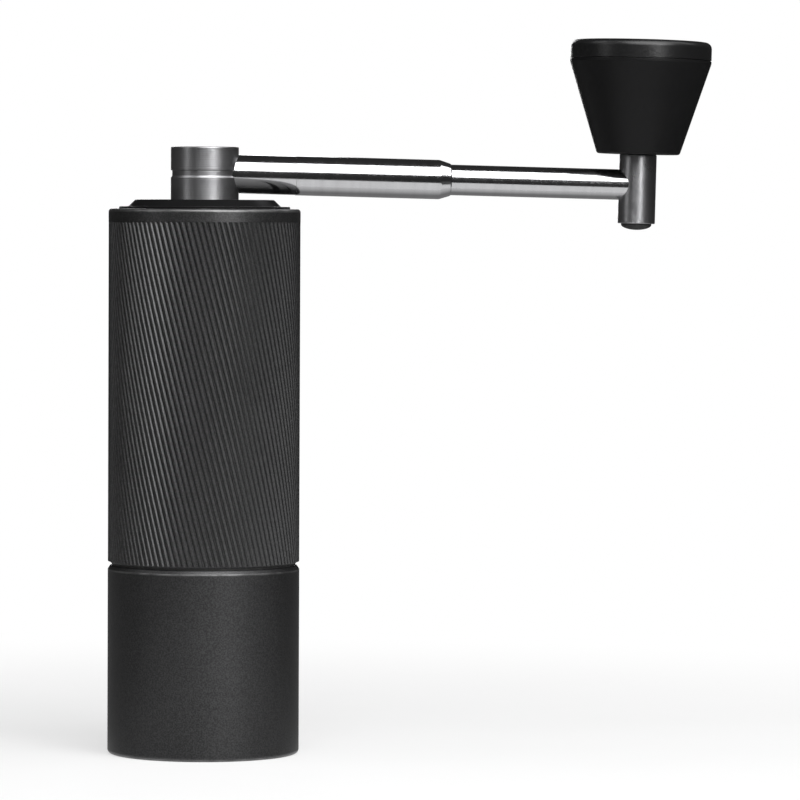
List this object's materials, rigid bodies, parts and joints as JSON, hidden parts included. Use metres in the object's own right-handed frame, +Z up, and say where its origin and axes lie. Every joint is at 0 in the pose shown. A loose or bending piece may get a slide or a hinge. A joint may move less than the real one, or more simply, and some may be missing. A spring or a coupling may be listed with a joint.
{
  "type": "hand crank coffee grinder",
  "caption": "Slim upright hand mill for coffee: fluted black body on a screw-on cup, conical burrs inside, and a folding steel crank with a conical knob.",
  "frame": {"origin": "centre of the cup's base, on the mill's axis", "axes": "+Z up along the mill's axis, +X along the crank at rest"},
  "size_m": [0.1644, 0.052, 0.1945],
  "materials": {
    "black_anodised": "matte black anodised",
    "black_plastic": "satin",
    "grey_plastic": "matte",
    "polished_steel": "polished",
    "turned_steel": "fine turned",
    "burr_steel": "ground",
    "plain_steel": "plain",
    "brass": "turned",
    "black_rubber": "matte"
  },
  "bodies": {
    "catch_cup": {"catch_cup": "black_anodised"},
    "cup_seal": {"cup_seal": "black_rubber"},
    "mill_body": {"body_shell": "black_anodised", "burr_housing": "grey_plastic", "outer_burr": "burr_steel", "outer_burr_screws": "plain_steel", "bearing_bridge": "grey_plastic", "bridge_snap_ring": "plain_steel", "lower_bearing_outer_ring": "plain_steel", "upper_bearing_outer_ring": "plain_steel"},
    "bearing_balls": {"lower_bearing_balls": "plain_steel", "upper_bearing_balls": "plain_steel", "lower_ball_cage": "plain_steel", "upper_ball_cage": "plain_steel"},
    "rotor": {"drive_shaft": "plain_steel", "lower_bearing_inner_ring": "plain_steel", "upper_bearing_inner_ring": "plain_steel", "shaft_circlips": "plain_steel"},
    "burr": {"inner_burr": "burr_steel", "burr_spring": "plain_steel", "click_plate": "burr_steel"},
    "dial": {"adjusting_dial": "grey_plastic", "dial_insert": "brass", "detent_plungers": "plain_steel", "detent_balls": "plain_steel"},
    "lid": {"lid": "black_plastic"},
    "crank": {"crank_hub": "turned_steel", "arm_stub": "polished_steel", "fold_pin": "plain_steel"},
    "arm": {"arm_rod": "polished_steel", "sleeve_o_ring": "black_rubber", "knob_post": "polished_steel", "post_bumper": "black_rubber", "knob_axle": "plain_steel", "knob_washer": "plain_steel"},
    "sleeve": {"lock_sleeve": "polished_steel"},
    "knob": {"knob_body": "black_plastic", "knob_cap": "black_plastic", "knob_bushes": "brass"}
  },
  "joints": [
    {"name": "seal_lift", "type": "slide", "parent": "catch_cup", "child": "cup_seal", "axis": [0, 0, 1], "range_m": [0, 0.00601]},
    {"name": "mill_unscrew", "type": "hinge", "parent": "cup_seal", "child": "mill_body", "pos_m": [0, 0, 0.05], "axis": [0, 0, 1], "range_deg": [0, 720]},
    {"name": "crank_turn", "type": "hinge", "parent": "mill_body", "child": "rotor", "pos_m": [0, 0, 0.1], "axis": [0, 0, 1], "continuous": true},
    {"name": "ball_orbit", "type": "hinge", "parent": "mill_body", "child": "bearing_balls", "pos_m": [0, 0, 0.1], "axis": [0, 0, 1], "continuous": true},
    {"name": "burr_feed", "type": "slide", "parent": "rotor", "child": "burr", "axis": [0, 0, 1], "range_m": [-0.002, 0.001], "deforming": ["burr_spring"]},
    {"name": "dial_turn", "type": "hinge", "parent": "burr", "child": "dial", "pos_m": [0, 0, 0.04], "axis": [0, 0, 1], "range_deg": [-721, 361]},
    {"name": "crank_lift", "type": "slide", "parent": "rotor", "child": "crank", "axis": [0, 0, 1], "range_m": [0, 0.025]},
    {"name": "lid_lift", "type": "slide", "parent": "mill_body", "child": "lid", "axis": [0, 0, 1], "range_m": [0, 0.02501]},
    {"name": "arm_fold", "type": "hinge", "parent": "crank", "child": "arm", "pos_m": [0.03259, 0, 0.15668], "axis": [0, 1, 0], "range_deg": [0, 84.4]},
    {"name": "sleeve_slide", "type": "slide", "parent": "arm", "child": "sleeve", "axis": [0.9998, 0, -0.0222], "range_m": [0, 0.034]},
    {"name": "knob_spin", "type": "hinge", "parent": "arm", "child": "knob", "pos_m": [0.11832, 0, 0.15478], "axis": [0.0222, 0, 0.9998], "continuous": true}
  ],
  "couplings": [
    {"joint": "seal_lift", "follows": "mill_unscrew", "m_per_rad": 0.00047746},
    {"joint": "ball_orbit", "follows": "crank_turn", "ratio": 0.41667},
    {"joint": "dial_turn", "follows": "burr_feed", "rad_per_m": 6283.2},
    {"joint": "lid_lift", "follows": "crank_lift", "ratio": 1},
    {"joint": "sleeve_slide", "follows": "arm_fold", "m_per_rad": 0.023}
  ]
}
